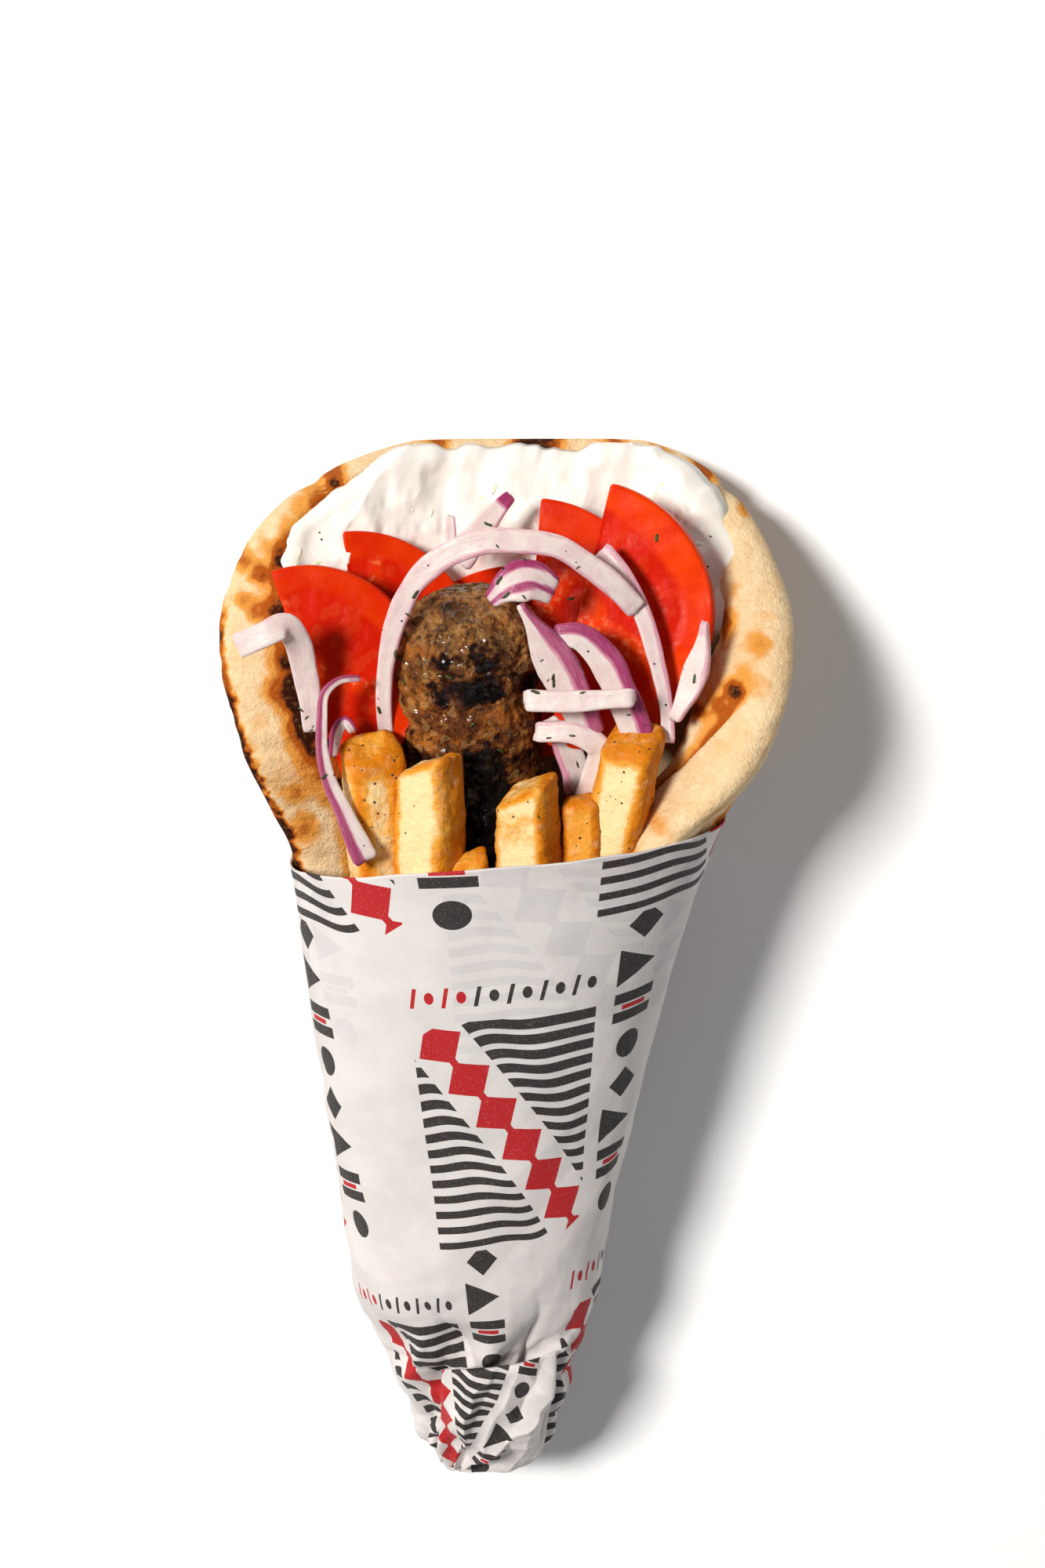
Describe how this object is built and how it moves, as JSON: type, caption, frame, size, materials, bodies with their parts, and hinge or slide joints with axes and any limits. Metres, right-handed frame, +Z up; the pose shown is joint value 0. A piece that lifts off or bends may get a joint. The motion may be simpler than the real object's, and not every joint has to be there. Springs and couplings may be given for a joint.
{
  "type": "gyro wrap",
  "caption": "Flatbread rolled round a grilled meat kebab, fries, tomato, red onion and yogurt sauce, held in a printed paper cone with a crumpled end",
  "frame": {"origin": "on the surface that the wrap lies on, under the middle of its bounding box", "axes": "+Z up; +Y along the wrap from the crumpled paper end to the open mouth; +X to the right seen from above with the mouth at the top; the wrap lies on its back with the filling facing up"},
  "size_m": [0.1097, 0.223, 0.0637],
  "materials": {
    "paper": "thin off-white greaseproof paper with charcoal and red print, creased and crumpled at the closed end",
    "meat": "grilled minced meat, coarse grained and greasy, brown with charred black patches",
    "potato": "deep fried potato, pale yellow faces, golden crisp edges, speckled with pepper and herbs",
    "bread": "soft griddled flatbread, pale cream, dimpled, with toasted brown rims and char spots",
    "onion": "raw red onion, moist translucent white with purple skin edges",
    "tomato": "moist ripe tomato flesh, orange-red with pale seed flecks and a glossy skin",
    "sauce": "thick glossy white yogurt sauce with soft lumps, cucumber shreds and herb flecks"
  },
  "bodies": {
    "root": {"paper": "paper", "kebab": "meat", "fry_left": "potato", "fry_front": "potato", "fry_stub": "potato", "fry_middle": "potato", "fry_short": "potato", "fry_right": "potato", "pita": "bread", "onion_ring": "onion", "onion_outer_arc": "onion", "onion_wedge": "onion", "onion_arch": "onion", "onion_bar": "onion", "onion_hook": "onion", "onion_deep": "onion", "onion_right": "onion", "onion_curl": "onion", "onion_over_rim": "onion", "onion_crescent": "onion", "onion_top": "onion", "onion_sliver": "onion", "onion_tuft": "onion", "tomato_right": "tomato", "tomato_inner_right": "tomato", "tomato_middle": "tomato", "tomato_left": "tomato", "tomato_low_left": "tomato", "tomato_back_left": "tomato", "yogurt_sauce": "sauce"}
  },
  "joints": []
}
